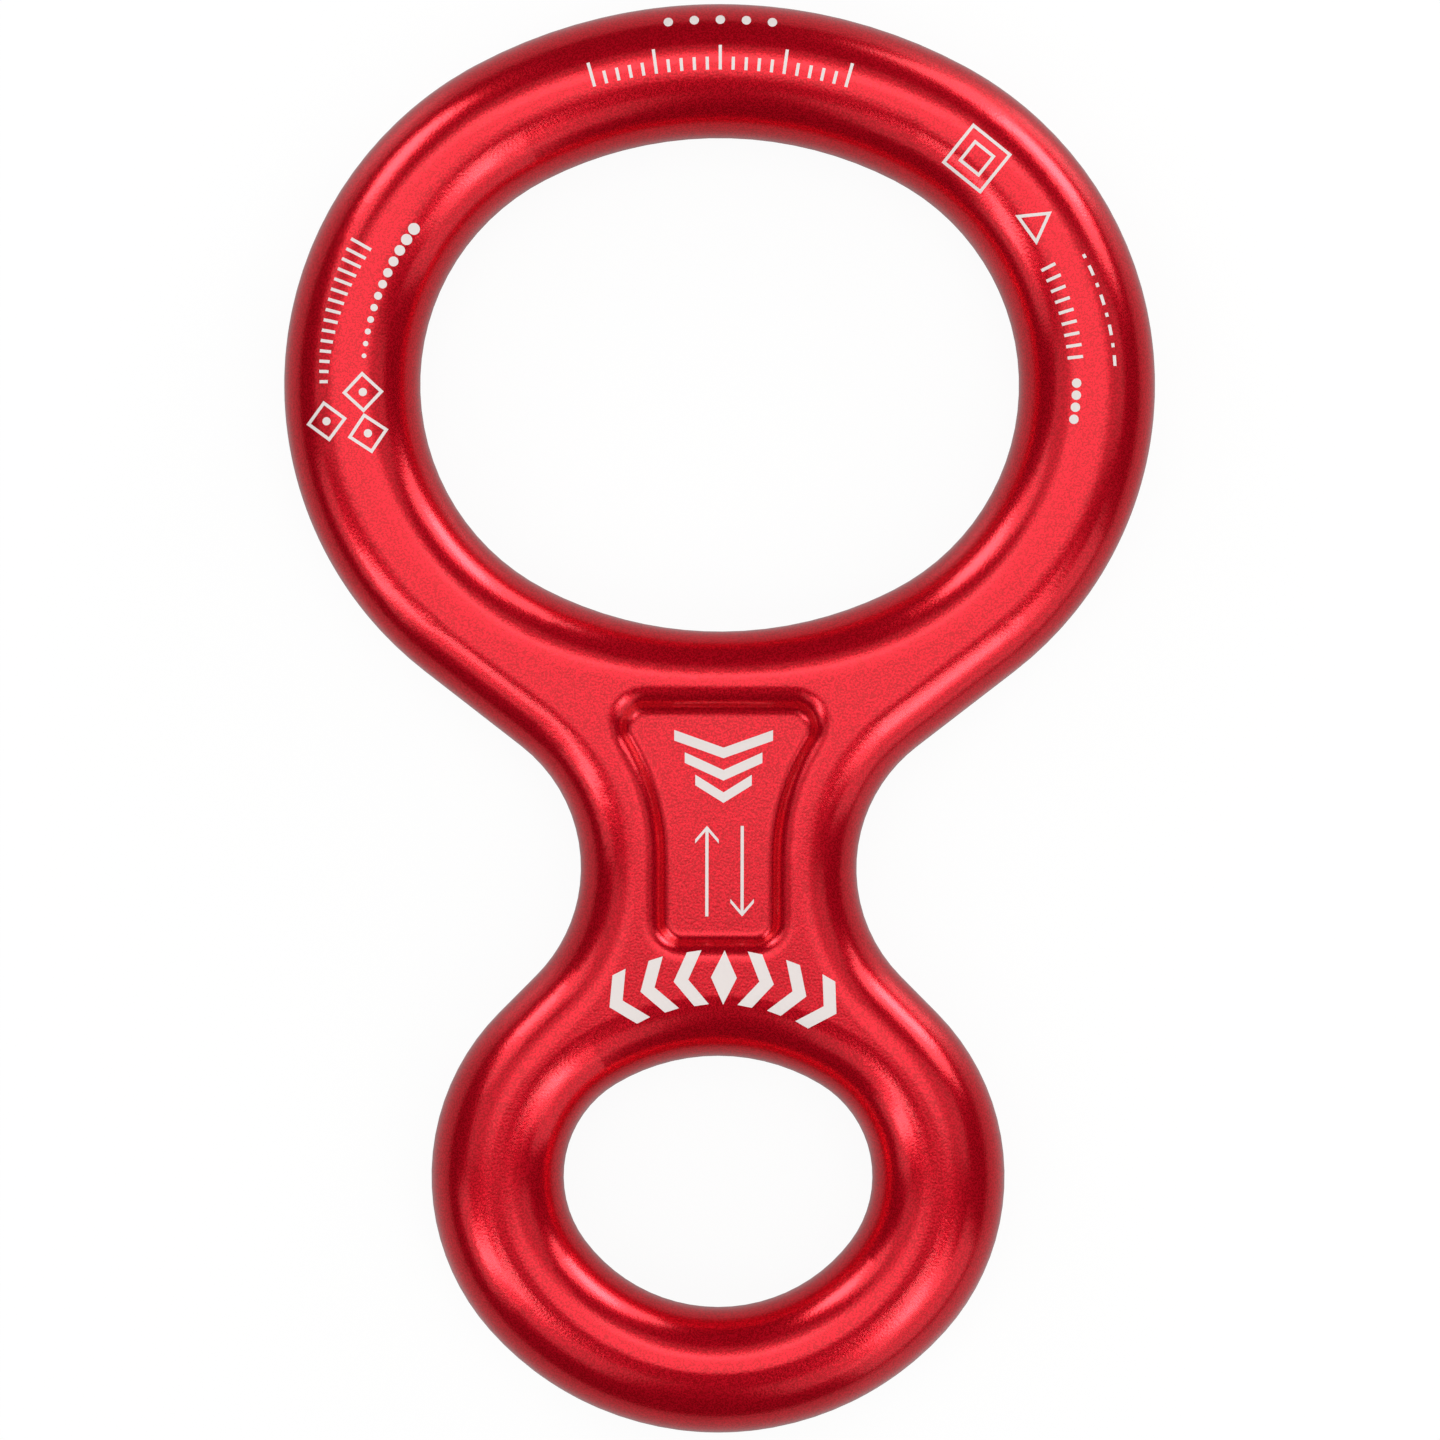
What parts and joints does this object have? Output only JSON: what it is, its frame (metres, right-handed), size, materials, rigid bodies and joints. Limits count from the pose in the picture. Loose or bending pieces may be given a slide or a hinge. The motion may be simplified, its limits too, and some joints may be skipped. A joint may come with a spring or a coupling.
{
  "type": "figure eight descender",
  "caption": "Forged figure eight descender in red anodised aluminium, with a large oval rope eye, a small oval karabiner eye and a waisted web with a shallow recess.",
  "frame": {"origin": "on the plane that the part rests on, below the middle of its outline", "axes": "+Z through the thickness, out of the marked face; +Y along the length, from the karabiner eye to the rope eye; X across the width"},
  "size_m": [0.0744, 0.1222, 0.011],
  "materials": {
    "red_anodised": "satin",
    "laser_white": "matte"
  },
  "bodies": {
    "root": {"descender_body": "red_anodised"}
  },
  "joints": []
}
